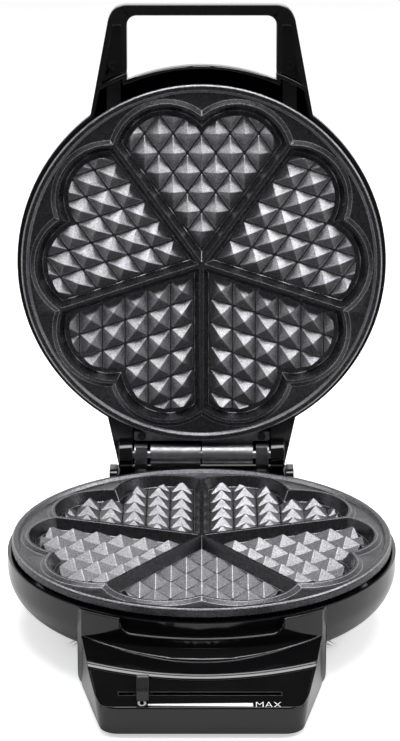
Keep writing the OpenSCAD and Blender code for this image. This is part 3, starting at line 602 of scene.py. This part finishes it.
def makeFloor():
    bpy.ops.object.select_all(action="DESELECT")
    width, depth = floorLook["size"]
    bpy.ops.mesh.primitive_plane_add(size=1, location=(0, floorLook["front"] + depth / 2, 0))
    floor = bpy.context.object
    floor.name = "studioFloor"
    floor.scale = (width, depth, 1)
    bpy.ops.object.transform_apply(location=True, rotation=True, scale=True)
    material, tree, shader = newMaterial("paleFloor")
    coords = objectCoords(tree)
    tree.links.new(floorShade(tree, coords), shader.inputs["Base Color"])
    shader.inputs["Roughness"].default_value = floorLook["rough"]
    shader.inputs["Specular IOR Level"].default_value = floorLook["specular"]
    shader.inputs["Emission Color"].default_value = (1, 1, 1, 1)
    tree.links.new(floorGlow(tree, coords), shader.inputs["Emission Strength"])
    floor.data.materials.append(material)


backdropLook = {"place": (0, 3.9, 1.5), "size": (8, 4), "tone": 0.8,
                "direct": 1.0, "gloss": 0.8, "other": 0.2}


def makeBackdrop():
    bpy.ops.object.select_all(action="DESELECT")
    upright = (math.radians(90), 0, 0)
    bpy.ops.mesh.primitive_plane_add(size=1, location=backdropLook["place"], rotation=upright)
    backdrop = bpy.context.object
    backdrop.name = "studioBackdrop"
    backdrop.scale = (*backdropLook["size"], 1)
    bpy.ops.object.transform_apply(location=True, rotation=True, scale=True)
    material, tree, shader = newMaterial("whiteBackdrop")
    shader.inputs["Base Color"].default_value = (*(backdropLook["tone"],) * 3, 1)
    shader.inputs["Roughness"].default_value = 1
    shader.inputs["Emission Color"].default_value = (1, 1, 1, 1)
    glow = rayStrength(tree, backdropLook["direct"], backdropLook["gloss"], backdropLook["other"])
    tree.links.new(glow, shader.inputs["Emission Strength"])
    backdrop.data.materials.append(material)


# the room is dim in front of the object and as bright as the backdrop behind it
roomLook = {"ambient": 0.45, "front": 0.12, "behind": 1.0, "from": -0.1, "to": 0.6}


def makeWorld():
    world = bpy.data.worlds.new("softStudio")
    bpy.context.scene.world = world
    world.use_nodes = True
    tree = world.node_tree
    background = tree.nodes["Background"]
    background.inputs["Color"].default_value = (1, 1, 1, 1)
    lightPath = tree.nodes.new("ShaderNodeLightPath")
    coords = tree.nodes.new("ShaderNodeTexCoord")
    parts = tree.nodes.new("ShaderNodeSeparateXYZ")
    tree.links.new(coords.outputs["Generated"], parts.inputs["Vector"])
    room = rangeOf(tree, parts.outputs["Y"], roomLook["front"], roomLook["behind"],
                   roomLook["from"], roomLook["to"])
    gloss = tree.nodes.new("ShaderNodeMix")
    gloss.inputs["A"].default_value = roomLook["ambient"]
    tree.links.new(lightPath.outputs["Is Glossy Ray"], gloss.inputs["Factor"])
    tree.links.new(room, gloss.inputs["B"])
    seen = tree.nodes.new("ShaderNodeMath")
    seen.operation = "MAXIMUM"
    tree.links.new(lightPath.outputs["Is Camera Ray"], seen.inputs[0])
    tree.links.new(lightPath.outputs["Is Transmission Ray"], seen.inputs[1])
    white = tree.nodes.new("ShaderNodeMix")
    white.inputs["B"].default_value = 1.0
    tree.links.new(seen.outputs["Value"], white.inputs["Factor"])
    tree.links.new(gloss.outputs["Result"], white.inputs["A"])
    tree.links.new(white.outputs["Result"], background.inputs["Strength"])


softboxes = {
    "overhead": {"place": (0.03, -0.03, 0.8), "aim": (0.03, 0.06, 0.1), "size": (0.75, 0.32), "power": 7},
    "left": {"place": (-0.8, -0.06, 0.63), "aim": (0, 0.1, 0.2), "size": (0.35, 0.35), "power": 1.6},
    "right": {"place": (0.8, -0.06, 0.63), "aim": (0, 0.1, 0.2), "size": (0.35, 0.35), "power": 3.2},
    "rear": {"place": (0, 0.75, 1.15), "aim": (0, -0.15, 0.03), "size": (0.9, 0.4), "power": 5},
}


def makeLights():
    for name, box in softboxes.items():
        lamp = bpy.data.lights.new(name, "AREA")
        lamp.shape = "RECTANGLE"
        lamp.size, lamp.size_y = box["size"]
        lamp.energy = box["power"]
        light = bpy.data.objects.new(name, lamp)
        bpy.context.scene.collection.objects.link(light)
        light.location = box["place"]
        aim = Vector(box["aim"]) - Vector(box["place"])
        light.rotation_euler = aim.to_track_quat("-Z", "Y").to_euler()


viewpoint = {
    "place": (-0.95 * mm, -1474.5 * mm + plateAxisY, 641.5 * mm),
    "elevation": 18.62,
    "lens": 140.5,
    "sensor": 36,
    "nearest": 0.05,
}


def makeCamera():
    lens = bpy.data.cameras.new("studioCamera")
    lens.lens = viewpoint["lens"]
    lens.sensor_width = viewpoint["sensor"]
    lens.clip_start = viewpoint["nearest"]
    camera = bpy.data.objects.new("studioCamera", lens)
    bpy.context.scene.collection.objects.link(camera)
    camera.location = viewpoint["place"]
    camera.rotation_euler = (math.radians(90 - viewpoint["elevation"]), 0, 0)
    bpy.context.scene.camera = camera


makeFloor()
makeBackdrop()
makeWorld()
makeLights()
makeCamera()
bpy.context.scene.view_settings.view_transform = "Standard"
print("studio ready")
